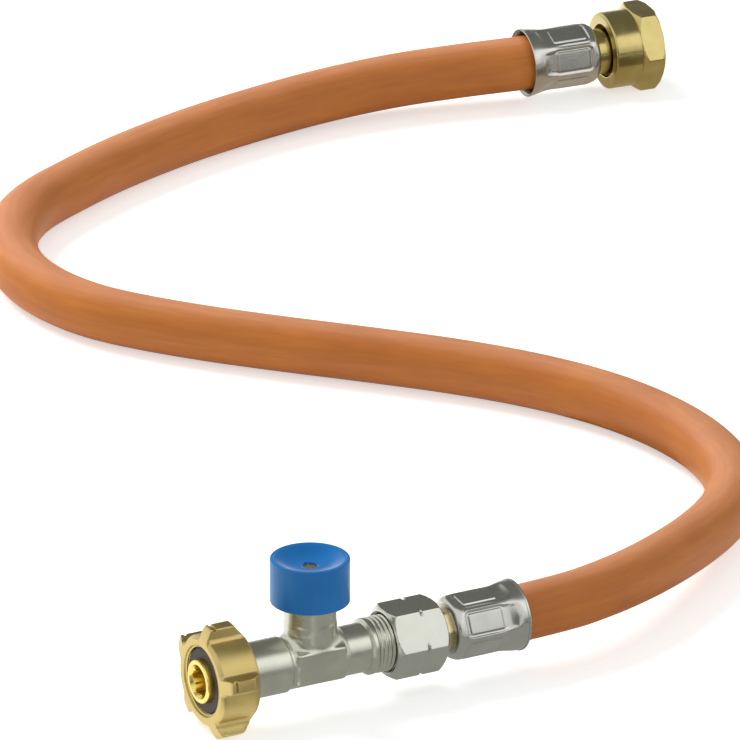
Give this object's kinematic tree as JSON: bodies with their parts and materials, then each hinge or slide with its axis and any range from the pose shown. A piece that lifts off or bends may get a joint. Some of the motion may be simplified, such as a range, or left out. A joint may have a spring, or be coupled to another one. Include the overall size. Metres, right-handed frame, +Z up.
{
  "type": "propane regulator hose",
  "caption": "High-pressure propane hose with a lugged cylinder nut, a hose-rupture valve with a push button, crimped ferrules and a swivel regulator nut.",
  "frame": {"origin": "centre of the bottom of the box around the valve and its two nuts, on the surface that the part lies on", "axes": "+X along the valve, from the cylinder nut towards the hose; +Y to the side that the hose curves away to; +Z up, along the push button"},
  "size_m": [0.3551, 0.413, 0.0464],
  "materials": {
    "cylinder_nut_brass": "turned and forged brass, lightly tumbled",
    "nipple_brass": "turned brass, bright",
    "slip_ring_brass": "turned brass",
    "inner_brass": "turned brass",
    "nickel_plate": "nickel plated brass, satin",
    "nickel_nut": "nickel plated steel, satin",
    "neck_brass": "turned brass",
    "ferrule_steel": "zinc plated steel, crimped",
    "far_nut_brass": "turned brass bar, satin",
    "spring_steel": "drawn wire",
    "seal_rubber": "moulded nitrile rubber",
    "hose_rubber": "extruded rubber, matt",
    "button_plastic": "moulded plastic, satin"
  },
  "bodies": {
    "valve": {"valve_body": "nickel_plate", "inlet_nipple": "nipple_brass", "cylinder_seal": "seal_rubber", "flow_seat": "inner_brass", "poppet_guide": "inner_brass", "poppet_spring": "spring_steel", "gland_bush": "inner_brass", "stem_o_ring": "seal_rubber", "return_spring": "spring_steel", "outlet_seal": "seal_rubber"},
    "nut_ring": {"nut_slip_ring": "slip_ring_brass"},
    "cylinder_nut": {"cylinder_nut": "cylinder_nut_brass"},
    "button": {"button_cap": "button_plastic", "button_pin": "inner_brass", "pin_clip": "spring_steel"},
    "poppet": {"flow_poppet": "inner_brass", "poppet_clip": "spring_steel"},
    "hose_assembly": {"near_nipple": "neck_brass", "near_ferrule": "ferrule_steel", "hose": "hose_rubber", "far_ferrule": "ferrule_steel", "far_nipple": "neck_brass", "far_seal": "seal_rubber"},
    "outlet_nut": {"outlet_nut": "nickel_nut"},
    "far_nut": {"far_nut": "far_nut_brass"}
  },
  "joints": [
    {"name": "inlet_nut_slide", "type": "slide", "parent": "valve", "child": "nut_ring", "axis": [-1, 0, 0], "range_m": [-0.0095, 0.0044]},
    {"name": "inlet_nut_turn", "type": "hinge", "parent": "nut_ring", "child": "cylinder_nut", "pos_m": [-0.0449, 0.00038, 0.01567], "axis": [1, 0, 0], "continuous": true},
    {"name": "button_press", "type": "slide", "parent": "valve", "child": "button", "axis": [0, 0, -1], "range_m": [0, 0.0035], "stiffness_N_per_m": 1500, "springref_m": -0.002, "deforming": ["return_spring"]},
    {"name": "flow_stop_slide", "type": "slide", "parent": "valve", "child": "poppet", "axis": [1, 0, 0], "range_m": [0, 0.0015], "stiffness_N_per_m": 200, "springref_m": -0.002, "deforming": ["poppet_spring"]},
    {"name": "hose_slide", "type": "slide", "parent": "valve", "child": "hose_assembly", "axis": [1, 0, 0], "range_m": [0, 0.008]},
    {"name": "outlet_nut_turn", "type": "hinge", "parent": "hose_assembly", "child": "outlet_nut", "pos_m": [0.0161, 0.00038, 0.01567], "axis": [-1, 0, 0], "range_deg": [0, 2160]},
    {"name": "far_nut_turn", "type": "hinge", "parent": "hose_assembly", "child": "far_nut", "pos_m": [0.29501, 0.37345, 0.012], "axis": [0.9945, -0.1045, 0], "continuous": true}
  ],
  "couplings": [
    {"joint": "outlet_nut_turn", "follows": "hose_slide", "rad_per_m": 4699.5}
  ]
}
